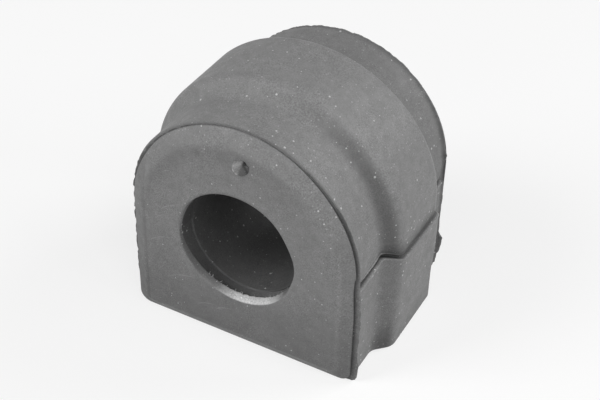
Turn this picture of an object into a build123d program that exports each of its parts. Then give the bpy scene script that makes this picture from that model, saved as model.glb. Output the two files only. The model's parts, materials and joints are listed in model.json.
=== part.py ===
from build123d import *
from math import radians, tan
import os

# Stabiliser bar bush: one moulding of solid rubber, D-shaped in section.
# +Z is up, the bore lies along Y, and the origin is the centre of the flat base.
# All sizes are millimetres.

# Outline seen from above: two narrower ends and a raised band between them that the clamp holds.
RIM_SPACING = 41.8            # between the parting planes at the two ends
END_WIDTH = 49.8
BAND_RISE = 3.3               # how far the band stands proud of the ends, all round the D
BAND_FRONT = 12.3             # from the front rim to half way up the sloping step
BAND_REAR = 30.2              # from the front rim to half way down the steep step
FRONT_SLOPE = 45.0            # degrees, the sloping step against the bore's direction
REAR_SLOPE = 80.0             # degrees, the steep step against the bore's direction
FRONT_STEP_RADIUS = 3.0
REAR_STEP_RADIUS = 0.9

# D section: a half circle on straight sides.
ARCH_CENTRE_HEIGHT = 27.1
BASE_EDGE_RADIUS = 0.7

# End faces, each proud of its rim behind a wide bevel.
FACE_RISE = 2.1
BEVEL_WIDTH = 3.3
RIM_CORNER_RADIUS = 2.5       # lower corners of the D where the bevel starts
FACE_CORNER_RADIUS = 1.6      # lower corners of the flat face
BEVEL_CREST_RADIUS = 2.5      # softens the edge between the face and its bevel

# Bore for a round bar, with a wider land and a chamfered lip at each mouth.
BORE_DIAMETER = 25.0
BORE_HEIGHT = 25.2            # of its axis, above the base
LAND_DIAMETER = 25.5
LAND_DEPTH = 4.2              # from the face to the step between land and bore
LIP_DIAMETER = 26.0           # at the face
LIP_DEPTH = 1.5

# Flash left by the mould at both rims and along both sides.
RIM_FLASH_THICKNESS = 0.35
RIM_FLASH_ON_ARCH = 0.35      # how far it stands out round the arch
RIM_FLASH_ON_RIGHT = 1.3      # how far it stands out beside the base
RIM_FLASH_ON_LEFT = 0.5
RIM_FLASH_FLARE_TOP = 19.0    # height above the base at which the side flash starts to narrow
PARTING_HEIGHT = 24.0         # of the side parting line, above the base
PARTING_END_GAP = 1.4         # the line stops this far short of each rim
SEAM_RIDGE_HEIGHT = 0.5
SEAM_RIDGE_PROUD = 0.25
SEAM_GROOVE_HEIGHT = 0.9      # the groove lies right above the ridge
SEAM_GROOVE_DEPTH = 0.4

# Stub of the moulding gate on the front face.
GATE_X = 1.3
GATE_BELOW_CREST = 2.7        # from the top of the flat face down to the stub's centre
GATE_BASE_DIAMETER = 3.4
GATE_TOP_DIAMETER = 2.0
GATE_LENGTH = 1.3

FRONT_RIM = -RIM_SPACING / 2
REAR_RIM = RIM_SPACING / 2
HALF_END = END_WIDTH / 2
HALF_BAND = HALF_END + BAND_RISE


def plan_side():
    """The right-hand edge of the bush seen from above, with both steps of the band."""
    front_middle = FRONT_RIM + BAND_FRONT
    rear_middle = FRONT_RIM + BAND_REAR
    front_half_run = BAND_RISE / 2 / tan(radians(FRONT_SLOPE))
    rear_half_run = BAND_RISE / 2 / tan(radians(REAR_SLOPE))
    return FilletPolyline(
        (HALF_END, FRONT_RIM),
        (HALF_END, front_middle - front_half_run),
        (HALF_BAND, front_middle + front_half_run),
        (HALF_BAND, rear_middle - rear_half_run),
        (HALF_END, rear_middle + rear_half_run),
        (HALF_END, REAR_RIM),
        radius=[FRONT_STEP_RADIUS, FRONT_STEP_RADIUS, REAR_STEP_RADIUS, REAR_STEP_RADIUS],
    )


def plan_face():
    """The whole outline seen from above."""
    right = plan_side()
    left = mirror(right, Plane.YZ)
    front = Line(left @ 0, right @ 0)
    rear = Line(left @ 1, right @ 1)
    return make_face([*right.edges(), *left.edges(), front, rear])


def half_plan_face():
    """The right half of that outline, closed along the middle plane."""
    right = plan_side()
    front = Line((0, FRONT_RIM), right @ 0)
    rear = Line(right @ 1, (0, REAR_RIM))
    middle = Line((0, REAR_RIM), (0, FRONT_RIM))
    return make_face([*right.edges(), front, rear, middle])


def stepped_body():
    """The D-shaped body: the outline turned over the arch and drawn straight down the sides."""
    at_arch_centre = Pos(0, 0, ARCH_CENTRE_HEIGHT)
    arch_axis = Axis((0, 0, ARCH_CENTRE_HEIGHT), (0, 1, 0))
    arch = revolve(at_arch_centre * half_plan_face(), arch_axis, -180)
    legs = extrude(plan_face(), ARCH_CENTRE_HEIGHT)
    base_edges = legs.edges().group_by(Axis.Z)[0]
    side_edges = base_edges.filter_by(lambda edge: abs(edge.center().X) > HALF_END / 2)
    return arch + fillet(side_edges, BASE_EDGE_RADIUS)


def d_face(half_width, bottom, corner_radius, y):
    """A D section at the given y, with its arch about the body's arch centre."""
    # Sketched with X to the right and the sketch's Y up.
    arch = CenterArc((0, ARCH_CENTRE_HEIGHT), half_width, 0, 180)
    legs = FilletPolyline(
        (half_width, ARCH_CENTRE_HEIGHT),
        (half_width, bottom),
        (-half_width, bottom),
        (-half_width, ARCH_CENTRE_HEIGHT),
        radius=corner_radius,
    )
    section = make_face([arch, *legs.edges()])
    return Plane((0, y, 0), x_dir=(1, 0, 0), z_dir=(0, -1, 0)) * section


def front_end_cap():
    """The proud front face with its bevel, from the rim outward."""
    rim = d_face(HALF_END, 0, RIM_CORNER_RADIUS, FRONT_RIM)
    face_half_width = HALF_END - BEVEL_WIDTH
    face = d_face(face_half_width, BEVEL_WIDTH, FACE_CORNER_RADIUS, FRONT_RIM - FACE_RISE)
    cap = loft([rim, face], ruled=True)
    crest = cap.faces().sort_by(Axis.Y)[0].edges()
    return fillet(crest, BEVEL_CREST_RADIUS)


def front_rim_flash():
    """The thin fin squeezed out where the mould's end plate met its sides."""
    arch_radius = HALF_END + RIM_FLASH_ON_ARCH
    right_foot = HALF_END + RIM_FLASH_ON_RIGHT
    left_foot = -HALF_END - RIM_FLASH_ON_LEFT
    arch = CenterArc((0, ARCH_CENTRE_HEIGHT), arch_radius, 0, 180)
    skirt = Polyline(
        (arch_radius, ARCH_CENTRE_HEIGHT),
        (right_foot, RIM_FLASH_FLARE_TOP),
        (right_foot, 0),
        (left_foot, 0),
        (left_foot, RIM_FLASH_FLARE_TOP),
        (-arch_radius, ARCH_CENTRE_HEIGHT),
    )
    section = make_face([arch, *skirt.edges()])
    lower_corners = section.vertices().group_by(Axis.Y)[0]
    section = fillet(lower_corners, RIM_CORNER_RADIUS)
    at_front_rim = Plane((0, FRONT_RIM, 0), x_dir=(1, 0, 0), z_dir=(0, -1, 0))
    return extrude(at_front_rim * section, RIM_FLASH_THICKNESS / 2, both=True)


def bar_bore():
    """The round space for the bar, with its land and lip at each mouth."""
    middle_to_face = RIM_SPACING / 2 + FACE_RISE
    middle_to_land = middle_to_face - LAND_DEPTH
    half_section = make_face(
        Polyline(
            (0, 0),
            (BORE_DIAMETER / 2, 0),
            (BORE_DIAMETER / 2, middle_to_land),
            (LAND_DIAMETER / 2, middle_to_land),
            (LAND_DIAMETER / 2, middle_to_face - LIP_DEPTH),
            (LIP_DIAMETER / 2, middle_to_face),
            (0, middle_to_face),
            close=True,
        )
    )
    rear_half = revolve(half_section, Axis.Y)
    return Pos(0, 0, BORE_HEIGHT) * (rear_half + mirror(rear_half, Plane.XZ))


def seam_band(stand_out, low, high):
    """A layer of the plan outline moved out by stand_out, between two heights, clear of the rims."""
    layer = extrude(offset(plan_face(), stand_out, kind=Kind.INTERSECTION), high - low)
    length = RIM_SPACING - 2 * PARTING_END_GAP
    return Pos(0, 0, low) * (layer & Box(2 * END_WIDTH, length, 2 * (high - low)))


def seam_groove():
    """The shallow groove that the parting line leaves on both sides, as the space to cut."""
    low = PARTING_HEIGHT
    high = PARTING_HEIGHT + SEAM_GROOVE_HEIGHT
    return seam_band(SEAM_GROOVE_DEPTH, low, high) - seam_band(-SEAM_GROOVE_DEPTH, low, high)


def gate_stub():
    """The torn-off stub of rubber where the mould was filled."""
    face_top = ARCH_CENTRE_HEIGHT + HALF_END - BEVEL_WIDTH
    centre = (GATE_X, FRONT_RIM - FACE_RISE, face_top - GATE_BELOW_CREST)
    face_plane = Plane(centre, z_dir=(0, -1, 0))
    foot = Circle(GATE_BASE_DIAMETER / 2)
    top = Pos(0, 0, GATE_LENGTH) * Circle(GATE_TOP_DIAMETER / 2)
    return face_plane * loft([foot, top], ruled=True)


def bush_body():
    """The whole moulding."""
    front_end = front_end_cap() + front_rim_flash()
    rear_end = mirror(front_end, Plane.XZ)
    seam_ridge = seam_band(SEAM_RIDGE_PROUD, PARTING_HEIGHT - SEAM_RIDGE_HEIGHT, PARTING_HEIGHT)
    outside = stepped_body() - seam_groove() + seam_ridge + front_end + rear_end + gate_stub()
    return outside - bar_bore()


os.makedirs("parts", exist_ok=True)
body = bush_body()
body.label = "bush_body"
export_step(body, "parts/bush_body.step")
print("solids", len(body.solids()), "volume", round(body.volume), body.bounding_box())
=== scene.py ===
import json
import math
import bpy
import numpy as np
from mathutils import Matrix, Vector


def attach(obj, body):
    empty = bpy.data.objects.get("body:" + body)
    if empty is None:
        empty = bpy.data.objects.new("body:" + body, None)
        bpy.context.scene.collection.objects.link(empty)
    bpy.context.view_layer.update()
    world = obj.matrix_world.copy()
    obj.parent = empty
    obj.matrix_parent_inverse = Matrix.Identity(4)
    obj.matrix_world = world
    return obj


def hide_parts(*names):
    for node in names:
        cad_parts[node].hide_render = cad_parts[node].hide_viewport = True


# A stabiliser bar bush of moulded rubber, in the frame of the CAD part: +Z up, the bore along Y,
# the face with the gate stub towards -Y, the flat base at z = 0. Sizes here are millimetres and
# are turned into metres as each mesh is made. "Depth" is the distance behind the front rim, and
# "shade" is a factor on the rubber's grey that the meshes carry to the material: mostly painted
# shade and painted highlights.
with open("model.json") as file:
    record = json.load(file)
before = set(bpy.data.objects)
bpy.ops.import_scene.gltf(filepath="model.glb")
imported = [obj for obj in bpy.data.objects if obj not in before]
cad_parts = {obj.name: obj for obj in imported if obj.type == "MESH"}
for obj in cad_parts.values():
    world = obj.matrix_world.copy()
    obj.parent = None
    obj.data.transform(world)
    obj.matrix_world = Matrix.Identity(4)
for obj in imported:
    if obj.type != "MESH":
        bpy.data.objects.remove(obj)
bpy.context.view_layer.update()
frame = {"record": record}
MM = 0.001

# ---- Sizes of the moulding ----------------------------------------------------------------
RIM_SPACING = 41.8
HALF_END = 24.9                          # half the width of the ends
BAND_RISE = 3.3                          # how far the band stands proud of the ends
BAND_FRONT = 12.3                        # depth of the middle of the sloping step
BAND_REAR = 30.2                         # depth of the middle of the steep step
FRONT_SLOPE = 45.0                       # degrees against the bore
REAR_SLOPE = 80.0
FRONT_STEP_RADIUS = 3.0
REAR_STEP_RADIUS = 0.9
ARCH_CENTRE = 27.1                       # height above the base
BASE_EDGE_RADIUS = 0.7
FACE_RISE = 2.1                          # how far each end face stands out from its rim
BEVEL_WIDTH = 3.3
RIM_CORNER_RADIUS = 2.5
FACE_CORNER_RADIUS = 1.6
BEVEL_CREST_RADIUS = 2.5
LIP_RADIUS = 13.0
LIP_DEPTH = 1.5
LAND_RADIUS = 12.75
LAND_DEPTH = 4.2
FRONT_FACE = -RIM_SPACING / 2 - FACE_RISE    # in y

BORE = next(m for m in frame["record"]["mounts"] if m["kind"] == "bore")
BORE_RADIUS = BORE["dims"]["r_mm"]
BORE_HEIGHT = BORE["pos_m"][2] / MM

# ---- How the mould stood out of line ------------------------------------------------------
UPPER_SHIFT = -0.45                      # its upper half against its end plates, in x
LOWER_SHIFT = -0.05                      # and its lower half
REAR_SLANT = 1.45                        # how much deeper the steep step lies low on the sides
REAR_SLANT_BELOW_SEAM = 1.0              # and still more on the right below the parting line
FRONT_SLANT = 0.8                        # the sloping step on the right: back half way, forward low
FULLER_LEFT, FULLER_TOP = 0.45, 0.08     # how far the body swells beyond its arch

# ---- Parting line -------------------------------------------------------------------------
SEAM_PLACES = ((0.0, 22.4), (4.0, 22.6), (7.6, 23.0), (9.6, 23.22), (10.3, 23.8), (11.0, 23.9),
               (12.0, 23.5), (13.2, 22.9), (14.1, 22.5), (15.2, 22.3), (18.8, 22.25), (28.5, 22.1),
               (33.0, 22.3), (41.8, 24.0))   # depth and height
SEAM_LIP = 0.16                          # stands out just below the line
SEAM_CREVICE, SEAM_HOLLOW = 0.60, 0.42   # depths of the line and of the soft dip above it
SEAM_THREAD = 0.45                       # a thread of rubber beside the line in front
SEAM_THREAD_ABOVE = 0.80                 # height of that thread above the line, less the widening
SEAM_WIDER_IN_FRONT = 0.16
SEAM_SHALLOWER = 0.45                    # share by which it is shallower from the band on
DARKEST_SEAM = 0.06                      # least factor of the painted shade in the line

# ---- Flash at the rims --------------------------------------------------------------------
FRONT_FLASH, REAR_FLASH = 0.24, 0.28     # how far they stand out round the arch
DEEPEST_GAP = -0.3                       # where a flash is torn away
CREVICE_ROWS = ((0.03, -0.10, 0.70), (0.14, -0.32, 0.24), (0.30, -0.34, 0.22),
                (0.40, -0.08, 0.32))     # distance back, how far out, and shade: painted shade in the crevice
FIN_ROWS = ((0.42, 0.25, 0.66), (0.43, 0.60, 0.80), (0.46, 0.92, 0.95), (0.54, 1.00, 1.35),
            (0.66, 0.92, 1.25), (0.74, 0.50, 1.00))   # distance back, share of its reach, and shade: painted shade at the root, painted highlight at the edge
FIN_BACK = 0.5                           # rows further back than this make the fin's outer edge
REAR_FIN_SHADE = 0.55

# ---- Gate stub and torn threads -----------------------------------------------------------
STUB_X, STUB_Z = 1.3, 45.75
STUB_RADIUS, STUB_HEIGHT, STUB_ROOT = 1.7, 1.35, 0.15
STUB_TIP = 0.96                          # share of the dome at which its rows end
STUB_FULLNESS = 0.75                     # 1 is a ball's profile, less is fuller
STUB_TEAR = 0.85                         # share of the rubber above the tear that is gone
WHISKER_COUNT, WHISKER_LENGTH, WHISKER_WIDTH = 44, 1.0, 0.26
WHISKER_INSET = 0.22                     # their roots lie this far inside the land
WHISKER_TAPER = 0.3                      # width at the tip as a share of that at the root

# ---- Rubber -------------------------------------------------------------------------------
RUBBER_GREY = 0.185
# Painted shade through the bore
BORE_PAINTED_SHADE = 0.42
CLOUD_SIZE, CLOUD_STRENGTH = 9.0, 0.06
MOTTLE_SIZE, MOTTLE_STRENGTH = 1.5, 0.11
GRAIN_SIZE, GRAIN_STRENGTH = 0.27, 0.38
GRAIN_PATCH_SIZE, GRAIN_IN_PATCHES = 7.0, 0.4    # the grain's least share between its patches
FINE_DUST = {"pitch": 0.75, "radius": 0.17, "share": 0.55, "offset": 0.0}
BRIGHT_DUST = {"pitch": 1.5, "radius": 0.24, "share": 0.42, "offset": 40.0}
FINE_DUST_LIGHT, BRIGHT_DUST_LIGHT = 0.14, 0.30
DUST_ZONE_SIZE, LEAST_DUST = 6.0, 0.25
GLOSS_SIZE, ROUGHNESS = 2.4, (0.52, 0.66)
RELIEF_SIZE, RELIEF_HEIGHT, RELIEF_STRENGTH = 0.35, 0.05, 0.35
FACE_SCRATCHES = (((-17.5, 28.9), (-13.5, 31.3), 0.16), ((-20.8, 19.8), (-15.0, 22.7), 0.14),
                  ((-18.8, 25.9), (-16.5, 27.8), 0.14), ((-16.6, 12.0), (-9.5, 14.5), 0.15),
                  ((-16.0, 38.7), (-14.7, 39.0), 0.16), ((-9.7, 7.4), (-4.8, 9.1), 0.15),
                  ((-5.3, 8.0), (-0.6, 9.7), 0.14))      # two ends as x and z, and half width
SCRATCH_BEND, SCRATCH_LIGHT = 0.35, 0.07

# ---- Camera -------------------------------------------------------------------------------
CAMERA_AZIMUTH = math.radians(27.59)     # to the right of the front face
CAMERA_ELEVATION = math.radians(38.09)
CAMERA_ROLL = math.radians(1.66)
CAMERA_DISTANCE = 265.0 * MM
CAMERA_TARGET = Vector((2.11, -0.90, 23.59)) * MM
CAMERA_LENS = 77.38                      # on a sensor 36 wide
SENSOR_WIDTH = 36.0

# ---- Studio -------------------------------------------------------------------------------
AIM = Vector((0, 0, 25)) * MM
LAMP_DISTANCE = 0.9
LAMP_SIZE = 0.45
LAMPS = (("key", 315, 37, 4.6), ("back_right", 135, 36, 3.5), ("right", 90, 22, 2.2),
         ("front_right", 45, 45, 2.0), ("front", 0, 15, 1.2))  # azimuth, elevation in degrees; watts
WHITE = (1, 1, 1, 1)
WORLD_LIGHT = 0.04
FLOOR_SIZE = 6.0
FLOOR_WHITE = 0.7                        # how far the table is plain white to the camera
FLOOR_SEEN_GREY = 0.97                   # the rest of what the camera sees of it
FLOOR_BOUNCE = 0.5                       # how much light the table throws back on the bush

# ---- Mesh resolution ----------------------------------------------------------------------
ARCH_COLUMNS = 230
CORNER_COLUMNS = 7
BASE_COLUMNS = 44
SEAM_LEVEL = 22.9                        # height at which the columns meet the parting line
SEAM_LOW, SEAM_HIGH = 22.0, 25.0         # heights between which the side columns lie close
SEAM_COLUMN_STEP = 0.10
SIDE_COLUMN_STEP = 0.75
BODY_STEP, CAP_STEP = 0.42, 0.3          # between rows over the body and over the bevel
RIM_ROOM = 1.0                           # the body's rows keep this far from each rim
FACE_EDGE = 1.2                          # the bevel's rows end this far inside its crest
FACE_STEPS, TUNNEL_STEPS = 14, 23
STUB_COLUMNS, STUB_ROWS = 48, 14


def smooth(low, high, x):
    """0 below low, 1 above high, and a smooth rise between."""
    t = np.clip((np.asarray(x, float) - low) / (high - low), 0.0, 1.0)
    return t * t * (3.0 - 2.0 * t)


def down(high, low, x):
    """0 above high, 1 below low, and a smooth change between."""
    return 1.0 - smooth(low, high, x)


def between(x, start, full, fading, end):
    """0 before start and after end, 1 from full to fading, and smooth changes between."""
    return smooth(start, full, x) * (1 - smooth(fading, end, x))


def hump(x, centre, width):
    """A smooth bump of height 1."""
    return np.exp(-((np.asarray(x, float) - centre) / width) ** 2)


def ripple(x, seed, wavelength, octaves=3):
    """Smooth noise along a line, between about -1 and 1."""
    rng = np.random.default_rng(seed)
    total = np.zeros_like(np.asarray(x, float))
    for octave in range(octaves):
        length = wavelength / 1.9 ** octave
        for _ in range(3):
            stretch, phase = rng.uniform(0.7, 1.4), rng.uniform(0, math.tau)
            total += np.sin(math.tau * x / (length * stretch) + phase) * 0.36 / 1.7 ** octave
    return total


def torn(along, seed, pitch, deepest):
    """Small bites out of a torn edge: steep on one side, sloping on the other."""
    rng = np.random.default_rng(seed)
    bites = np.zeros_like(along)
    place = 0.0
    while place < along.max():
        place += pitch * rng.uniform(0.5, 1.8)
        run, size = pitch * rng.uniform(0.3, 0.9), deepest * rng.uniform(0.2, 1.0)
        past = along - place
        bites = np.maximum(bites, size * (past > 0) * (1 - smooth(0.0, run, past)))
    return bites


# ---- The D, as columns that every row of the mesh shares ----------------------------------
def side_fractions():
    """Steps down a side, as shares of its height, close together where the parting line runs."""
    upper = np.arange(ARCH_CENTRE, SEAM_HIGH, -SIDE_COLUMN_STEP / 2)[1:]
    middle = np.arange(SEAM_HIGH, SEAM_LOW, -SEAM_COLUMN_STEP)
    lower = np.arange(SEAM_LOW, BASE_EDGE_RADIUS + SIDE_COLUMN_STEP / 2, -SIDE_COLUMN_STEP)
    heights = np.concatenate([upper, middle, lower])
    return (ARCH_CENTRE - heights) / (ARCH_CENTRE - BASE_EDGE_RADIUS)


class Columns:
    """Where each column lies on the D: over the arch from right to left, down, across and up."""

    def __init__(self):
        fractions = side_fractions()
        arch = np.linspace(0, math.pi, ARCH_COLUMNS)
        corner = np.linspace(0, math.pi / 2, CORNER_COLUMNS)
        base = np.linspace(-1, 1, BASE_COLUMNS + 2)[1:-1]
        parts = [("arch", arch), ("left", fractions), ("left_corner", corner),
                 ("base", base), ("right_corner", corner), ("right", fractions[::-1])]
        self.kind = np.concatenate([[name] * len(values) for name, values in parts])
        self.value = np.concatenate([values for _, values in parts])
        self.count = len(self.value)
        self.is_side = np.isin(self.kind, ["left", "right"])
        self.is_base = self.kind == "base"
        outline = self.outline(HALF_END, 0.0, RIM_CORNER_RADIUS)
        gaps = np.linalg.norm(np.diff(outline, axis=0, append=outline[:1]), axis=1)
        self.along = np.concatenate([[0.0], np.cumsum(gaps)[:-1]])
        self.is_right = outline[:, 0] > 0
        self.height = self.outline(HALF_END, 0.0, BASE_EDGE_RADIUS)[:, 1]
        self.angle = np.degrees(np.arctan2(self.height - ARCH_CENTRE, outline[:, 0]))
        self.bore_angle = np.degrees(np.arctan2(self.height - BORE_HEIGHT, outline[:, 0]))

    def outline(self, half_width, bottom, radius):
        """The D of that half width, bottom height and corner radius, as x and z of each column."""
        x, z = np.zeros(self.count), np.zeros(self.count)
        arch = self.kind == "arch"
        x[arch] = half_width * np.cos(self.value[arch])
        z[arch] = ARCH_CENTRE + half_width * np.sin(self.value[arch])
        for side, sign in (("right", 1), ("left", -1)):
            pick = self.kind == side
            x[pick] = sign * half_width
            z[pick] = ARCH_CENTRE - self.value[pick] * (ARCH_CENTRE - bottom - radius)
        pick = self.kind == "left_corner"
        x[pick] = -half_width + radius - radius * np.cos(self.value[pick])
        z[pick] = bottom + radius - radius * np.sin(self.value[pick])
        pick = self.kind == "right_corner"
        x[pick] = half_width - radius + radius * np.sin(self.value[pick])
        z[pick] = bottom + radius - radius * np.cos(self.value[pick])
        x[self.is_base] = self.value[self.is_base] * (half_width - radius)
        z[self.is_base] = bottom
        return np.stack([x, z], 1)

    def outward(self):
        """The direction away from the D at each column, as x and z."""
        x, z = np.zeros(self.count), np.zeros(self.count)
        arch = self.kind == "arch"
        x[arch], z[arch] = np.cos(self.value[arch]), np.sin(self.value[arch])
        x[self.kind == "right"], x[self.kind == "left"] = 1.0, -1.0
        pick = self.kind == "left_corner"
        x[pick], z[pick] = -np.cos(self.value[pick]), -np.sin(self.value[pick])
        pick = self.kind == "right_corner"
        x[pick], z[pick] = np.sin(self.value[pick]), -np.cos(self.value[pick])
        z[self.is_base] = -1.0
        return np.stack([x, z], 1)

    def circle(self, radius):
        """The point of a circle about the bore's axis that each column runs to."""
        away = self.outline(HALF_END, 0.0, RIM_CORNER_RADIUS) - (0.0, BORE_HEIGHT)
        away /= np.linalg.norm(away, axis=1)[:, None]
        return away * radius + (0.0, BORE_HEIGHT)


COLUMNS = Columns()
OUTWARD = COLUMNS.outward()


def place_row(points, depth, shade=1.0):
    """A row of the mesh as x, y, z and shade, from outline points and a depth behind the rim."""
    count = len(points)
    depths, shades = np.broadcast_to(depth, count), np.broadcast_to(shade, count)
    return np.column_stack([points[:, 0], depths - RIM_SPACING / 2, points[:, 1], shades])


# ---- Profiles along the bore --------------------------------------------------------------
def perpendicular(first, last):
    """The direction at right angles to first, on last's side, of the same length."""
    across = last - first * (first @ last) / (first @ first)
    return across / np.linalg.norm(across) * np.linalg.norm(first)


def rounded_path(corners, radii, step):
    """Points along straight runs with each inner corner rounded, at most step apart."""
    corners = [np.array(c, float) for c in corners]
    pieces, start = [], corners[0]
    for before, corner, after, radius in zip(corners, corners[1:], corners[2:], radii):
        enter, leave = before - corner, after - corner
        enter, leave = enter / np.linalg.norm(enter), leave / np.linalg.norm(leave)
        half = math.acos(np.clip(enter @ leave, -1, 1)) / 2
        reach = radius / math.tan(half)
        first, last = corner + enter * reach, corner + leave * reach
        pieces.append((start, first))
        middle = corner + (enter + leave) / np.linalg.norm(enter + leave) * radius / math.sin(half)
        turn = math.pi - 2 * half
        count = max(2, round(radius * turn / step))
        spoke, side = first - middle, perpendicular(first - middle, last - middle)
        sweep = [middle + spoke * math.cos(a) + side * math.sin(a) for a in np.linspace(0, turn, count + 1)]
        pieces += list(zip(sweep, sweep[1:]))
        start = last
    pieces.append((start, corners[-1]))
    points = [corners[0]]
    for a, b in pieces:
        count = max(1, math.ceil(np.linalg.norm(b - a) / step))
        points += [a + (b - a) * i / count for i in range(1, count + 1)]
    return np.array(points)


def body_profile():
    """Depth and half width from one rim to the other, over both steps of the band."""
    half_band = HALF_END + BAND_RISE
    front_run = BAND_RISE / 2 / math.tan(math.radians(FRONT_SLOPE))
    rear_run = BAND_RISE / 2 / math.tan(math.radians(REAR_SLOPE))
    corners = [(0, HALF_END), (BAND_FRONT - front_run, HALF_END), (BAND_FRONT + front_run, half_band),
               (BAND_REAR - rear_run, half_band), (BAND_REAR + rear_run, HALF_END),
               (RIM_SPACING, HALF_END)]
    radii = [FRONT_STEP_RADIUS, FRONT_STEP_RADIUS, REAR_STEP_RADIUS, REAR_STEP_RADIUS]
    return rounded_path(corners, radii, BODY_STEP)


def cap_profile():
    """Distance out from the rim and half width, from the rim over the bevel on to the face."""
    crest = HALF_END - BEVEL_WIDTH
    corners = [(0, HALF_END), (FACE_RISE, crest), (FACE_RISE, HALF_END - 2 * BEVEL_WIDTH)]
    path = rounded_path(corners, [BEVEL_CREST_RADIUS], CAP_STEP)
    return path[path[:, 1] > crest - FACE_EDGE]


# ---- Flash at the rims --------------------------------------------------------------------
def corner_fade():
    """1 beside the D, falling to 0 as each lower corner turns under."""
    c = COLUMNS
    fade = np.ones(c.count)
    fade[c.is_base] = 0.0
    pick = c.kind == "left_corner"
    fade[pick] = 1 - smooth(0.5, 1.2, c.value[pick])
    pick = c.kind == "right_corner"
    fade[pick] = smooth(0.0, 0.35, c.value[pick])
    return fade


def right_side_flash(height):
    """The front flash low on the right: it widens in two steps, narrows and flares at the base."""
    steps = 0.22 + 0.35 * down(38, 30, height) + 0.75 * down(26, 17, height)
    foot = -0.25 * down(14, 7, height) + 0.3 * down(6, 3, height)
    waves = 0.06 * ripple(height, seed=5, wavelength=5.0) + 0.03 * ripple(height, seed=6, wavelength=1.3)
    return steps + foot + waves


def left_side_flash(height):
    """The front flash low on the left: wavy, and narrower at the base."""
    return 0.16 + 0.26 * smooth(4, 9, height) + 0.10 * ripple(height, seed=7, wavelength=6.0)


def front_flash():
    """How far the front rim's flash stands out at each column."""
    c = COLUMNS
    waves = 0.05 * ripple(c.along, seed=3, wavelength=9.0) + 0.03 * ripple(c.along, seed=4, wavelength=1.6)
    wide_upper_left = 0.42 * hump(c.angle, 157, 12) + 0.24 * hump(c.angle, 172, 9)
    bare_upper_right = 0.34 * hump(c.angle, 52, 26) * c.is_right
    out = FRONT_FLASH + waves + wide_upper_left - bare_upper_right
    out = np.where(c.is_right & (c.height < 42), right_side_flash(c.height), out)
    left = ~c.is_right & (c.height < ARCH_CENTRE)
    out = np.where(left, left_side_flash(c.height), out)
    ragged = ~c.is_right & (c.angle > 120) | left
    deep_bites = torn(c.along, seed=9, pitch=2.4, deepest=0.60)
    small_bites = torn(c.along, seed=10, pitch=2.2, deepest=0.08)
    out -= np.where(ragged, deep_bites, small_bites)
    return np.clip(out, DEEPEST_GAP, None) * corner_fade()


def rear_flash():
    """How far the rear rim's flash stands out at each column."""
    c = COLUMNS
    waves = 0.10 * ripple(c.along, seed=13, wavelength=8.0) + 0.07 * ripple(c.along, seed=14, wavelength=1.4)
    nub = down(8.2, 7.0, c.height) * (0.1 + 1.05 * c.height / 7.0)
    tab = 0.5 * down(32.0, 29.9, c.height) * (1 - down(29.9, 29.0, c.height))
    bites = torn(c.along, seed=15, pitch=3.4, deepest=0.25)
    top = 0.14 * hump(c.angle, 75, 25)
    gap = 0.55 * c.is_right * hump(c.height, 27.0, 5.0)
    out = REAR_FLASH + waves + np.where(c.is_right & (c.height < 34), nub + tab, 0.0) - bites + top - gap
    return np.clip(out, DEEPEST_GAP, None) * corner_fade()


def foot_inset():
    """How far inside the D the foot of the front bevel lies at each column."""
    c = COLUMNS
    top = -0.18 * hump(c.angle, 98, 22)
    right = 0.50 * hump(c.angle, 38, 26) + 0.35 * hump(c.height, 23.5, 4.5) * c.is_side
    left = 0.20 * hump(c.angle, 150, 12)
    return top + np.where(c.is_right, right, left)


def rim_rows(rim_depth, back_sign, reach, inset, fin_shade, seed):
    """Rows from the bevel's foot through the crevice behind it and over the flash, with painted shade in the
    crevice and a painted highlight along the flash's edge.
    """
    c = COLUMNS
    outline = c.outline(HALF_END, 0.0, RIM_CORNER_RADIUS)
    wave = 0.12 * ripple(c.along, seed, wavelength=3.1) * smooth(0.4, 1.2, reach)
    wide = 0.55 + 0.6 * hump(c.angle, 155, 18) + 0.60 * c.is_right * down(60, 20, c.angle)
    top = hump(c.angle, 80, 42)
    # Less painted shade in the crevice over the top, where it is also shallower.
    less_crevice_shade, shallow = 0.42 * top, 1.0 - 0.4 * top
    rows = []
    for back, drop, shade in CREVICE_ROWS:
        points = outline + OUTWARD * ((drop * shallow - inset) * ~c.is_base)[:, None]
        rows.append(place_row(points, rim_depth + back_sign * back * wide, shade + less_crevice_shade))
    # Painted highlight on the flash's outer edge low on the right, painted shade in the gap behind it higher
    # up.
    edge_highlight_below, gap_shade_above = 0.25 * down(24, 20, c.height), 0.55 * hump(c.height, 26, 4.5)
    fin_edge_highlight_and_shade = 1.0 + c.is_right * (edge_highlight_below - gap_shade_above)
    for back, share, shade in FIN_ROWS:
        points = outline + OUTWARD * (reach * share)[:, None]
        points[:, 1] = np.maximum(points[:, 1], 0.0)
        depth = rim_depth + back_sign * back * wide + wave * share
        rows.append(place_row(points, depth, shade * fin_shade * (fin_edge_highlight_and_shade if back > FIN_BACK else 1.0)))
    return rows


# ---- End faces and mouths -----------------------------------------------------------------
def face_shade(points):
    """Painted shade on the face, low down and inside the upper left bevel; the left bevel is darker too."""
    x, z = points[:, 0], points[:, 1]
    low = down(26.0, 0.0, z)
    radius = np.hypot(x, z - ARCH_CENTRE)
    angle = np.degrees(np.arctan2(z - ARCH_CENTRE, x))
    inside = hump(radius, 20.6, 1.6) * hump(angle, 135, 45) * (z > ARCH_CENTRE)
    left_bevel = (x < -21.0) * down(42.0, 34.0, z)
    return 1.0 - 0.36 * low - 0.15 * inside - 0.20 * left_bevel


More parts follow.
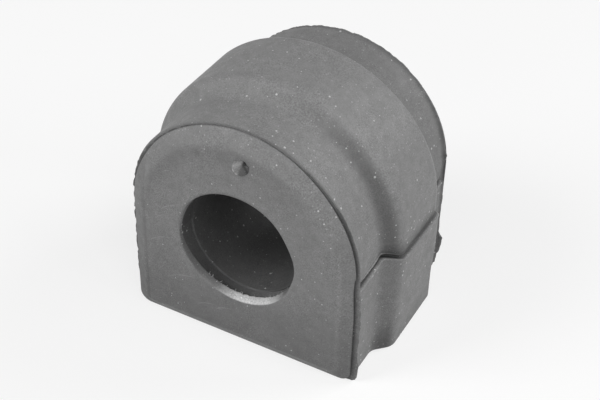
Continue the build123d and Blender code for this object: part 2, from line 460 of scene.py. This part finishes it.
def cap_rows(out_sign, rim_depth, inset):
    """Rows from the rim over the bevel and the face to the mouth of the bore."""
    rows = []
    crest = HALF_END - BEVEL_WIDTH
    right_side = COLUMNS.is_right * down(34, 26, COLUMNS.height)
    for rise, half in cap_profile():
        inward = HALF_END - half
        radius = RIM_CORNER_RADIUS - (RIM_CORNER_RADIUS - FACE_CORNER_RADIUS) * inward / BEVEL_WIDTH
        points = COLUMNS.outline(half, inward, max(radius, 0.4))
        points -= OUTWARD * (inset * max(0.0, 1 - inward / BEVEL_WIDTH))[:, None]
        rubbed = 1.0 + 0.22 * hump(half, crest + 0.7, 0.4) * right_side
        rows.append(place_row(points, rim_depth + out_sign * rise, rubbed * face_shade(points)))
    edge, lip = points, mouth_circle(LIP_RADIUS, skin=0.0)
    for share in np.linspace(0, 1, FACE_STEPS + 1)[1:]:
        points = edge + (lip - edge) * share
        rows.append(place_row(points, rim_depth + out_sign * FACE_RISE, face_shade(points)))
    return rows + mouth_rows(out_sign, rim_depth)


def mouth_circle(radius, skin):
    """A circle about the bore's axis, drawn in on the right as the mouth is, and by the torn skin."""
    angle = COLUMNS.bore_angle
    flat = 0.46 * hump(angle, 28, 20) + 0.32 * hump(angle, -20, 18)
    away = COLUMNS.circle(1.0) - (0.0, BORE_HEIGHT)
    return away * (radius - flat - skin)[:, None] + (0.0, BORE_HEIGHT)


def low_in_mouth():
    """1 along the mouth's lower edge, 0 at its sides and top."""
    return between(COLUMNS.bore_angle, -150, -112, -46, -24)


def torn_skin():
    """How far the torn skin along the mouth's lower edge hangs inward at each column."""
    angle, along = COLUMNS.bore_angle, COLUMNS.along
    waves = 0.07 * ripple(along, seed=31, wavelength=2.6)
    bites = torn(along, seed=32, pitch=1.1, deepest=0.20)
    return low_in_mouth() * (0.36 + 0.32 * hump(angle, -78, 30) + waves - bites)


def mouth_shades():
    """Painted highlight on the lip and painted shade on the land and the land's step, at each column."""
    angle = COLUMNS.bore_angle
    lip_sheen_highlight = between(angle, -118, -88, -58, -34)
    # Painted highlight: the lip's glossy reflection of the lamps, strongest along the lower lip and again at
    # its left.
    lip = 0.78 + 0.10 * low_in_mouth() + 1.95 * lip_sheen_highlight + 0.70 * hump(angle, 164, 17)
    # Painted shade on the land, less at its lower right, and on the land's step, which would otherwise catch
    # the light.
    land = 0.34 + 0.12 * hump(angle, -165, 30) + 0.42 * hump(angle, -55, 34)
    step = 0.08 + 0.24 * hump(angle, -165, 26)
    return lip, land, step


def mouth_rows(out_sign, rim_depth):
    """Rows over the lip with its torn skin, the land, the land's step and the start of the bore."""
    skin = torn_skin()
    lip, land, step = mouth_shades()
    lip_rows = ((LIP_RADIUS - 0.05, 0.10, 0.25, lip), (LIP_RADIUS - 0.14, 0.55, 0.6, lip),
                (LAND_RADIUS + 0.06, 1.1, 0.9, lip), (LAND_RADIUS, LIP_DEPTH, 1.0, lip),
                (LAND_RADIUS, LIP_DEPTH + 0.12, 1.0, land), (LAND_RADIUS, LIP_DEPTH + 0.30, 0.0, land))
    land_rows = ((LAND_RADIUS, 3.0, land), (LAND_RADIUS, LAND_DEPTH - 0.12, 0.8 * land),
                 (LAND_RADIUS - 0.05, LAND_DEPTH - 0.02, step),
                 (BORE_RADIUS + 0.04, LAND_DEPTH + 0.05, step),
                 (BORE_RADIUS, LAND_DEPTH + 0.2, BORE_PAINTED_SHADE))
    rows = []
    less_on_left = 1.0 - 0.6 * hump(np.abs(COLUMNS.bore_angle), 180, 28)
    for radius, inside, share, shade in lip_rows:
        points = mouth_circle(radius, skin * share)
        rows.append(place_row(points, rim_depth + out_sign * (FACE_RISE - inside * less_on_left), shade))
    for radius, inside, shade in land_rows:
        rows.append(place_row(COLUMNS.circle(radius), rim_depth + out_sign * (FACE_RISE - inside), shade))
    return rows


# ---- Parting line -------------------------------------------------------------------------
def seam_height(depth):
    """Height of the parting line above the base at a depth."""
    depths, heights = np.array(SEAM_PLACES).T
    return np.interp(depth, depths, heights)


def side_heights(depth):
    """Heights of the columns, moved on the sides so that they follow the parting line."""
    c = COLUMNS
    share = between(c.height, 13.0, 20.0, 25.0, ARCH_CENTRE) * c.is_side
    return c.height + (seam_height(depth) - SEAM_LEVEL) * share


def seam_ends(depth):
    """1 along the parting line, 0 close to each rim."""
    return between(depth, 1.6, 2.0, RIM_SPACING - 1.8, RIM_SPACING - 1.2)


def seam_widening(depth):
    """How much wider the parting line is in front of the band."""
    return SEAM_WIDER_IN_FRONT * hump(depth, 5.0, 6.0)


def seam_thread(depth):
    """1 along the thread of rubber beside the line, in front of the band."""
    return hump(depth, 8.5, 5.0)


def seam_push(depth, heights):
    """How far the parting line pushes a side out: a sharp lower lip, a crevice, a soft hollow."""
    above = heights - seam_height(depth)
    strength = 1.0 - SEAM_SHALLOWER * smooth(13.0, 16.0, depth)
    opening = smooth(-0.06, 0.08, above) * (1 - smooth(0.36, 0.62, above - seam_widening(depth)))
    lip = SEAM_LIP * hump(above, -0.18, 0.18)
    crevice = SEAM_CREVICE * strength * opening
    hollow = SEAM_HOLLOW * strength * between(above, 0.0, 0.3, 0.6, 2.3)
    thread = SEAM_THREAD * hump(above, SEAM_THREAD_ABOVE + SEAM_WIDER_IN_FRONT, 0.16) * seam_thread(depth)
    return seam_ends(depth) * (lip - crevice - hollow + thread)


def seam_shade(depth, heights):
    """Painted shade in the parting line and over the hollow above it, painted highlights on its lip and
    thread, as a factor on the rubber's colour.
    """
    above = heights - seam_height(depth)
    # Painted shade in the line's crevice and, softer, over the hollow above it, strongest on the band.
    dark = 0.86 * smooth(-0.10, 0.04, above) * (1 - smooth(0.42, 0.64, above - seam_widening(depth)))
    on_band = between(depth, 10.0, 13.0, 28.0, 30.0)
    soft = (0.08 + 0.84 * on_band) * smooth(0.1, 0.5, above) * np.clip(1 - above / 4.3, 0, 1)
    # Painted highlights on the lip just below the line and on the thread, with painted shade just above the
    # thread.
    lip = (0.90 - 0.75 * on_band) * hump(above, -0.30, 0.17)
    over_thread = above - SEAM_THREAD_ABOVE - SEAM_WIDER_IN_FRONT
    thread = 0.35 * seam_thread(depth) * (hump(over_thread, 0.02, 0.13) - hump(over_thread, 0.30, 0.12))
    shade = 1.0 - seam_ends(depth) * (np.maximum(dark, soft) - lip - thread)
    return np.maximum(shade, DARKEST_SEAM)


# ---- Body ---------------------------------------------------------------------------------
def is_below_seam(depth, margin=0.0):
    """True at the columns that lie below the parting line."""
    return side_heights(depth) < seam_height(depth) - margin


def body_shade(depth):
    """Painted shade on the sloping step and behind the band, and painted highlights along the band's edges.
    """
    c = COLUMNS
    below = c.is_right * is_below_seam(depth)
    # Painted shade on the sloping step on the right, which faces away from the lamps, and below the parting
    # line, most near the base.
    slope_shade_above = 0.45 * down(90, 35, c.angle) * c.is_right * (1 - below)
    slope_shade_below = below * (0.06 + 0.36 * down(10, 2, c.height))
    painted_slope_shade = (slope_shade_above + slope_shade_below) * between(depth - 0.4 * below, 9.0, 11.7, 12.2, 13.9)
    # Paler along the foot of the sloping step over the top.
    paler_foot = 0.13 * hump(depth, 10.0, 1.0) * hump(c.angle, 100, 24)
    # Painted highlights on the band's rounded rear edge and on the crest of the sloping step at the upper
    # right.
    rear_edge_highlight = 0.34 * hump(depth, BAND_REAR - 0.45, 0.30)
    front_crest_highlight = 0.13 * hump(depth, 13.7, 0.8) * hump(c.angle, 48, 22)
    # Painted shade on the rear end behind the band, which the band's step shades from the lamps.
    shade_behind_band = (0.16 + 0.07 * hump(c.angle, 55, 20)) * smooth(BAND_REAR, BAND_REAR + 1.0, depth)
    low_on_band = 0.06 * down(22, 5, c.height) * smooth(14.0, 16.0, depth)
    low = c.is_right * (low_on_band + 0.16 * down(7, 1, c.height))
    return 1.0 - painted_slope_shade + paler_foot + rear_edge_highlight + front_crest_highlight - shade_behind_band - low


def step_slant(depth):
    """The steps do not run quite square to the bore: how much deeper they lie at each column."""
    c = COLUMNS
    below_seam = smooth(7.0, 14.0, c.height) * is_below_seam(depth) * c.is_right
    rear = REAR_SLANT * down(52, 18, c.height) + REAR_SLANT_BELOW_SEAM * below_seam
    front = FRONT_SLANT * c.is_right * (hump(c.height, 23, 7) - down(7, 0, c.height))
    return rear * between(depth, 20.0, 29.0, 32.5, 39.0) + front * between(depth, 6.0, 10.0, 16.0, 22.0)


def half_shift(depth):
    """How far the mould's upper and lower half moved in x, at each column."""
    in_step = is_below_seam(depth, margin=0.03) * seam_ends(depth)
    level = seam_height(depth)
    blended = down(level, level - 6.0, COLUMNS.height) * (1 - seam_ends(depth))
    return UPPER_SHIFT + (LOWER_SHIFT - UPPER_SHIFT) * np.maximum(in_step, blended)


def swelling(depth):
    """How far the body swells beyond its arch, at the left in front and over the top."""
    left = FULLER_LEFT * hump(COLUMNS.angle, 158, 28) * (1 - smooth(5.0, 15.0, depth))
    return left + FULLER_TOP * hump(COLUMNS.angle, 128, 28) * smooth(4.0, 12.0, depth)


def body_rows():
    """Rows over the stepped outside between the two rims."""
    side = COLUMNS.is_side
    rows = []
    for depth, half_width in body_profile():
        if not RIM_ROOM < depth < RIM_SPACING - RIM_ROOM:
            continue
        points = COLUMNS.outline(half_width, 0.0, BASE_EDGE_RADIUS)
        points[side, 1] = side_heights(depth)[side]
        push = np.where(side, seam_push(depth, points[:, 1]), 0.0)
        shade = np.where(side, seam_shade(depth, points[:, 1]), 1.0) * body_shade(depth)
        points = points + OUTWARD * (swelling(depth) + push)[:, None]
        points[:, 0] += half_shift(depth)
        rows.append(place_row(points, depth + step_slant(depth), shade))
    return rows


def bush_rows():
    """Every row of the closed skin: front mouth, face, outside, rear face and through the bore."""
    inset, no_inset = foot_inset(), np.zeros(COLUMNS.count)
    front = cap_rows(-1, 0.0, inset)[::-1]
    rear = cap_rows(1, RIM_SPACING, no_inset)
    low_right = COLUMNS.is_right * down(38, 33, COLUMNS.height)
    front_fin_shade = 0.50 + 0.42 * low_right - 0.22 * low_right * down(16, 6, COLUMNS.height)
    front_rim = rim_rows(0.0, 1, front_flash(), inset, front_fin_shade, seed=21)
    rear_rim = rim_rows(RIM_SPACING, -1, rear_flash(), no_inset, REAR_FIN_SHADE, seed=22)[::-1]
    bore_start, bore_end = rear[-1][0, 1], front[0][0, 1]
    depths = np.linspace(bore_start, bore_end, TUNNEL_STEPS + 1)[1:-1] + RIM_SPACING / 2
    tunnel = [place_row(COLUMNS.circle(BORE_RADIUS), depth, BORE_PAINTED_SHADE) for depth in depths]
    return front + front_rim + body_rows() + rear_rim + rear + tunnel


def mesh_from_grid(name, grid, wrap_rows):
    """A closed mesh over a grid of x, y, z and shade: columns wrap round, rows wrap or end in caps."""
    n_rows, n_cols = grid.shape[:2]
    index = np.arange(n_rows * n_cols).reshape(n_rows, n_cols)
    beside = np.roll(index, -1, 1)
    next_row, next_beside = np.roll(index, -1, 0), np.roll(beside, -1, 0)
    last = n_rows if wrap_rows else n_rows - 1
    faces = np.stack([index, beside, next_beside, next_row], -1)[:last].reshape(-1, 4).tolist()
    if not wrap_rows:
        faces += [index[0, ::-1].tolist(), index[-1].tolist()]
    vertices = (grid[..., :3].reshape(-1, 3) * MM).tolist()
    mesh = shaded_mesh(name, vertices, faces, grid[..., 3].ravel())
    mesh.shade_smooth()
    return mesh


def shaded_mesh(name, vertices, faces, shades):
    """A mesh that carries the shade of each vertex, its painted light and shade."""
    mesh = bpy.data.meshes.new(name)
    mesh.from_pydata(vertices, [], faces)
    shade = mesh.attributes.new("shade", "FLOAT", "POINT")
    shade.data.foreach_set("value", np.asarray(shades, np.float32))
    return mesh


# ---- Material -----------------------------------------------------------------------------
class Nodes:
    """Short calls for building a node tree."""

    def __init__(self, tree):
        self.tree = tree

    def add(self, kind, settings=None, **sockets):
        """A new node with those settings, and with values or links on its named inputs."""
        node = self.tree.nodes.new(kind)
        for name, value in (settings or {}).items():
            setattr(node, name, value)
        for name, value in sockets.items():
            self.feed(node.inputs[name.replace("_", " ")], value)
        return node

    def feed(self, socket, value):
        """Links a socket to an input, or sets its value."""
        if isinstance(value, bpy.types.NodeSocket):
            self.tree.links.new(value, socket)
        else:
            socket.default_value = value

    def math(self, operation, first, second=0.0, clamp=False):
        """The result of one math node."""
        node = self.tree.nodes.new("ShaderNodeMath")
        node.operation, node.use_clamp = operation, clamp
        self.feed(node.inputs[0], first)
        self.feed(node.inputs[1], second)
        return node.outputs[0]

    def spread(self, value, from_low, from_high, to_low, to_high):
        """A value moved from one range to another, clamped."""
        node = self.tree.nodes.new("ShaderNodeMapRange")
        for socket, number in zip(node.inputs, (value, from_low, from_high, to_low, to_high)):
            self.feed(socket, number)
        return node.outputs[0]

    def noise(self, place, size, detail=2.0):
        """Noise from 0 to 1 whose blobs are about size millimetres across."""
        node = self.add("ShaderNodeTexNoise", Vector=place, Scale=1.0 / (size * MM), Detail=detail)
        return node.outputs["Fac"]

    def specks(self, place, pitch, radius, share, offset):
        """Round specks, 0 or 1, one in a share of the cells of that pitch, in millimetres."""
        moved = self.add("ShaderNodeVectorMath", {"operation": "ADD"})
        self.feed(moved.inputs[0], place)
        moved.inputs[1].default_value = (offset * MM, offset * MM, offset * MM)
        cells = self.add("ShaderNodeTexVoronoi", Vector=moved.outputs[0], Scale=1.0 / (pitch * MM))
        chance = self.add("ShaderNodeSeparateColor", Color=cells.outputs["Color"])
        size = self.spread(chance.outputs[1], 0.0, 1.0, 0.35 * radius / pitch, radius / pitch)
        near = self.math("LESS_THAN", cells.outputs["Distance"], size)
        picked = self.math("LESS_THAN", chance.outputs[0], share)
        return self.math("MULTIPLY", near, picked)


def scratch_mask(nodes, place):
    """Faint scuffs on the front face, from 0 to 1."""
    split = nodes.add("ShaderNodeSeparateXYZ", Vector=place)
    total = 0.0
    for (x0, z0), (x1, z1), width in FACE_SCRATCHES:
        angle, length = math.atan2(z1 - z0, x1 - x0), math.hypot(x1 - x0, z1 - z0)
        dx = nodes.math("SUBTRACT", split.outputs["X"], (x0 + x1) / 2 * MM)
        dz = nodes.math("SUBTRACT", split.outputs["Z"], (z0 + z1) / 2 * MM)
        cos, sin = math.cos(angle), math.sin(angle)
        run = nodes.math("ADD", nodes.math("MULTIPLY", dx, cos), nodes.math("MULTIPLY", dz, sin))
        off = nodes.math("SUBTRACT", nodes.math("MULTIPLY", dz, cos), nodes.math("MULTIPLY", dx, sin))
        bend = nodes.math("MULTIPLY", nodes.math("MULTIPLY", run, run), SCRATCH_BEND / MM / length)
        off = nodes.math("ABSOLUTE", nodes.math("ADD", off, bend))
        thin = nodes.spread(off, 0.0, width * MM, 1.0, 0.0)
        ends = nodes.spread(nodes.math("ABSOLUTE", run), 0.3 * length * MM, 0.5 * length * MM, 1.0, 0.0)
        total = nodes.math("ADD", nodes.math("MULTIPLY", thin, ends), total)
    front = nodes.math("LESS_THAN", split.outputs["Y"], 0.98 * FRONT_FACE * MM)
    return nodes.math("MULTIPLY", total, front, clamp=True)


def clean_tone(nodes, place):
    """The rubber's grey with the mesh's painted light and shade, soft clouds, mottling and a patchy fine
    grain.
    """
    shade = nodes.add("ShaderNodeAttribute", {"attribute_name": "shade"}).outputs["Fac"]
    clouds = nodes.spread(nodes.noise(place, CLOUD_SIZE), 0.3, 0.7, 1 - CLOUD_STRENGTH, 1 + CLOUD_STRENGTH)
    mottle = nodes.spread(nodes.noise(place, MOTTLE_SIZE, 3.0), 0.25, 0.75,
                          1 - MOTTLE_STRENGTH, 1 + MOTTLE_STRENGTH)
    grain = nodes.spread(nodes.noise(place, GRAIN_SIZE), 0.25, 0.75, -GRAIN_STRENGTH, GRAIN_STRENGTH)
    patches = nodes.spread(nodes.noise(place, GRAIN_PATCH_SIZE), 0.35, 0.65, GRAIN_IN_PATCHES, 1.0)
    grain = nodes.math("ADD", nodes.math("MULTIPLY", grain, patches), 1.0)
    tone = nodes.math("MULTIPLY", shade, RUBBER_GREY)
    for variation in (clouds, mottle, grain):
        tone = nodes.math("MULTIPLY", tone, variation)
    return tone


def dusty_tone(nodes, place, tone, fine):
    """That grey with fine dust in zones, bright dust and scuffs added."""
    bright = nodes.specks(place, **BRIGHT_DUST)
    zone = nodes.spread(nodes.noise(place, DUST_ZONE_SIZE), 0.35, 0.65, LEAST_DUST, 1.0)
    fine_light = nodes.math("MULTIPLY", nodes.math("MULTIPLY", fine, FINE_DUST_LIGHT), zone)
    bright_light = nodes.math("MULTIPLY", bright, BRIGHT_DUST_LIGHT)
    scratch_light = nodes.math("MULTIPLY", scratch_mask(nodes, place), SCRATCH_LIGHT)
    for light in (fine_light, bright_light, scratch_light):
        tone = nodes.math("ADD", tone, light)
    return tone


def rubber_material():
    """Matt moulded rubber: grey bloom, mottling, fine grain, dust specks and scuffs."""
    material = bpy.data.materials.new("moulded_rubber")
    material.use_nodes = True
    nodes = Nodes(material.node_tree)
    shader = material.node_tree.nodes["Principled BSDF"]
    place = nodes.add("ShaderNodeTexCoord").outputs["Object"]
    fine = nodes.specks(place, **FINE_DUST)
    tone = dusty_tone(nodes, place, clean_tone(nodes, place), fine)
    colour = nodes.add("ShaderNodeCombineColor", Red=tone, Green=tone, Blue=tone)
    nodes.feed(shader.inputs["Base Color"], colour.outputs[0])
    nodes.feed(shader.inputs["Roughness"], nodes.spread(nodes.noise(place, GLOSS_SIZE), 0.3, 0.7, *ROUGHNESS))
    relief = nodes.math("ADD", nodes.noise(place, RELIEF_SIZE, 3.0), nodes.math("MULTIPLY", fine, 0.6))
    bump = nodes.add("ShaderNodeBump", Strength=RELIEF_STRENGTH, Distance=RELIEF_HEIGHT * MM, Height=relief)
    nodes.feed(shader.inputs["Normal"], bump.outputs[0])
    return material


# ---- Pieces -------------------------------------------------------------------------------
def add_piece(name, mesh, material):
    """Puts a mesh in the scene as a piece of the bush."""
    piece = bpy.data.objects.new(name, mesh)
    bpy.context.scene.collection.objects.link(piece)
    mesh.materials.append(material)
    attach(piece, "root")
    return piece


def add_bush(material):
    """The moulding itself, with its rows from the rear forward, so that its faces look outward."""
    grid = np.stack(bush_rows()[::-1])
    piece = add_piece("bush", mesh_from_grid("bush", grid, wrap_rows=True), material)
    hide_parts("bush_body")


def stub_painted_light(x, z, share):
    """Painted light on the stub: its left side lit with two painted highlights low down, its right side in
    painted shade beside a darker painted shadow line.
    """
    across = 0.94 * x - 0.33 * z + 0.12 * ripple(x - z, seed=44, wavelength=1.1)
    lit_and_shaded_sides = 1.35 - 0.75 * smooth(-0.10, 0.35, across)
    painted_shadow_line = 0.45 * hump(x + 0.25 * z, 1.25, 0.30) + 0.35 * smooth(0.9, 1.5, z)
    painted_glints = hump(x, -1.25, 0.30) * hump(z, -0.5, 0.40) + hump(x, -0.75, 0.30) * hump(z, -1.3, 0.30)
    # The root row is in painted shade where the stub meets the face.
    return (lit_and_shaded_sides - painted_shadow_line + 2.4 * painted_glints) * (0.75 if share == 0 else 1.0)


def add_gate_stub(material):
    """The torn dome of rubber that the gate left on the front face."""
    turns = np.linspace(0, math.tau, STUB_COLUMNS, endpoint=False)
    ragged = 1.0 + 0.05 * ripple(turns * 3, seed=41, wavelength=4.0) \
        + 0.03 * ripple(turns * 3, seed=42, wavelength=1.3)
    rows = []
    for share in np.linspace(0, STUB_TIP, STUB_ROWS):
        swell = share * math.pi / 2
        radius = STUB_RADIUS * math.cos(swell) ** STUB_FULLNESS * ragged
        height = STUB_HEIGHT * math.sin(swell) - STUB_ROOT * (share == 0)
        x, z = radius * np.cos(turns), radius * np.sin(turns)
        above_tear = np.clip(height - (0.62 - 0.36 * x + 0.20 * z) * STUB_HEIGHT, 0, None)
        crumbs = 0.05 * ripple(x * 2 + z * 5, seed=43, wavelength=2.2) * (share > 0.2)
        rise = height - STUB_TEAR * above_tear * (share > 0) + crumbs
        rows.append(np.column_stack([STUB_X + x, FRONT_FACE - rise, STUB_Z + z, stub_painted_light(x, z, share)]))
    add_piece("gate_stub", mesh_from_grid("gate_stub", np.stack(rows), wrap_rows=False), material)


def whisker_corners(rng):
    """The four corners at a whisker's root and the four at its tip, in millimetres."""
    angle = math.radians(rng.uniform(-128, -36))
    length, width = rng.uniform(0.25, 1.0) * WHISKER_LENGTH, rng.uniform(0.6, 1.2) * WHISKER_WIDTH
    y = FRONT_FACE + LIP_DEPTH + rng.uniform(-0.1, 0.15)
    lean = Vector((rng.uniform(-0.5, 0.5), rng.uniform(-0.3, 0.5), 0))
    out = Vector((math.cos(angle), 0, math.sin(angle)))
    root = Vector((0, y, BORE_HEIGHT)) + out * (LAND_RADIUS - WHISKER_INSET)
    tip = root - (out - lean).normalized() * length
    side = out.cross(Vector((0, 1, 0))) * width / 2
    thick = Vector((0, width / 2, 0))
    ways = (side, thick, -side, -thick)
    return [root + way for way in ways] + [tip + way * WHISKER_TAPER for way in ways]


def add_whiskers(material):
    """Hairs of rubber left standing along the torn skin at the mouth's lower edge."""
    rng = np.random.default_rng(51)
    vertices, faces, shades = [], [], []
    for _ in range(WHISKER_COUNT):
        first = len(vertices)
        vertices += whisker_corners(rng)
        faces += [(first + i, first + (i + 1) % 4, first + 4 + (i + 1) % 4, first + 4 + i) for i in range(4)]
        faces += [(first + 3, first + 2, first + 1, first), (first + 4, first + 5, first + 6, first + 7)]
        # Painted highlight: each whisker is lighter than the rubber's grey by a random share.
        shades += [rng.uniform(0.9, 1.8)] * 8
    mesh = shaded_mesh("lip_whiskers", [v * MM for v in vertices], faces, shades)
    add_piece("lip_whiskers", mesh, material)


# ---- Studio -------------------------------------------------------------------------------
def add_camera():
    """The view from the front right and above."""
    data = bpy.data.cameras.new("camera")
    data.sensor_width = SENSOR_WIDTH
    data.lens = CAMERA_LENS
    camera = bpy.data.objects.new("camera", data)
    bpy.context.scene.collection.objects.link(camera)
    cos_el, sin_el = math.cos(CAMERA_ELEVATION), math.sin(CAMERA_ELEVATION)
    cos_az, sin_az = math.cos(CAMERA_AZIMUTH), math.sin(CAMERA_AZIMUTH)
    forward = Vector((-sin_az * cos_el, cos_az * cos_el, -sin_el))
    level_right = Vector((cos_az, sin_az, 0.0))
    level_up = level_right.cross(forward)
    cos_roll, sin_roll = math.cos(CAMERA_ROLL), math.sin(CAMERA_ROLL)
    right = cos_roll * level_right + sin_roll * level_up
    up = cos_roll * level_up - sin_roll * level_right
    place = Matrix((right, up, -forward)).transposed().to_4x4()
    place.translation = CAMERA_TARGET - CAMERA_DISTANCE * forward
    camera.matrix_world = place
    bpy.context.scene.camera = camera


def add_area_lamp(name, azimuth, elevation, power):
    """A soft square lamp aimed at the bush, azimuth counted from the front to the right."""
    azimuth, elevation = math.radians(azimuth), math.radians(elevation)
    level = math.cos(elevation)
    away = Vector((level * math.sin(azimuth), -level * math.cos(azimuth), math.sin(elevation)))
    data = bpy.data.lights.new(name, "AREA")
    data.size = LAMP_SIZE
    data.energy = power
    lamp = bpy.data.objects.new(name, data)
    bpy.context.scene.collection.objects.link(lamp)
    lamp.location = AIM + away * LAMP_DISTANCE
    lamp.rotation_euler = (-away).to_track_quat("-Z", "Y").to_euler()


def white_to_camera(nodes, lit, white):
    """Shows white to the rays that see the background, and the lit shader to all others."""
    path = nodes.add("ShaderNodeLightPath").outputs
    seen = nodes.math("MAXIMUM", path["Is Camera Ray"], path["Is Glossy Ray"])
    seen = nodes.math("MAXIMUM", seen, path["Is Transmission Ray"])
    return mixed(nodes, seen, lit, white)


def mixed(nodes, share, first, second):
    """The first shader with a share of the second."""
    mix = nodes.add("ShaderNodeMixShader", Fac=share)
    nodes.feed(mix.inputs[1], first)
    nodes.feed(mix.inputs[2], second)
    return mix.outputs[0]


def add_world():
    """A little light from all round, white to the camera."""
    world = bpy.data.worlds.new("studio")
    bpy.context.scene.world = world
    world.use_nodes = True
    nodes = Nodes(world.node_tree)
    light = world.node_tree.nodes["Background"]
    light.inputs["Color"].default_value = WHITE
    light.inputs["Strength"].default_value = WORLD_LIGHT
    white = nodes.add("ShaderNodeBackground", Color=WHITE, Strength=1.0)
    surface = white_to_camera(nodes, light.outputs[0], white.outputs[0])
    nodes.feed(world.node_tree.nodes["World Output"].inputs["Surface"], surface)


def floor_material():
    """White to the camera, but for a soft shadow, and grey to the light that it throws back."""
    material = bpy.data.materials.new("table")
    material.use_nodes = True
    nodes = Nodes(material.node_tree)
    paper = nodes.add("ShaderNodeBsdfDiffuse", Color=(*[FLOOR_BOUNCE] * 3, 1))
    seen_paper = nodes.add("ShaderNodeBsdfDiffuse", Color=(*[FLOOR_SEEN_GREY] * 3, 1))
    white = nodes.add("ShaderNodeEmission", Color=WHITE, Strength=1.0)
    seen = mixed(nodes, FLOOR_WHITE, seen_paper.outputs[0], white.outputs[0])
    surface = white_to_camera(nodes, paper.outputs[0], seen)
    nodes.feed(material.node_tree.nodes["Material Output"].inputs["Surface"], surface)
    return material


def add_floor():
    """A plain table at the base's level."""
    half = FLOOR_SIZE / 2
    corners = [(-half, -half, 0), (half, -half, 0), (half, half, 0), (-half, half, 0)]
    mesh = bpy.data.meshes.new("floor")
    mesh.from_pydata(corners, [], [(0, 1, 2, 3)])
    mesh.materials.append(floor_material())
    floor = bpy.data.objects.new("floor", mesh)
    bpy.context.scene.collection.objects.link(floor)


def add_studio():
    """Five soft lamps, the table and the world."""
    for name, azimuth, elevation, power in LAMPS:
        add_area_lamp(name, azimuth, elevation, power)
    add_floor()
    add_world()
    bpy.context.scene.view_settings.view_transform = "Standard"


RUBBER = rubber_material()
add_bush(RUBBER)
add_gate_stub(RUBBER)
add_whiskers(RUBBER)
add_camera()
add_studio()
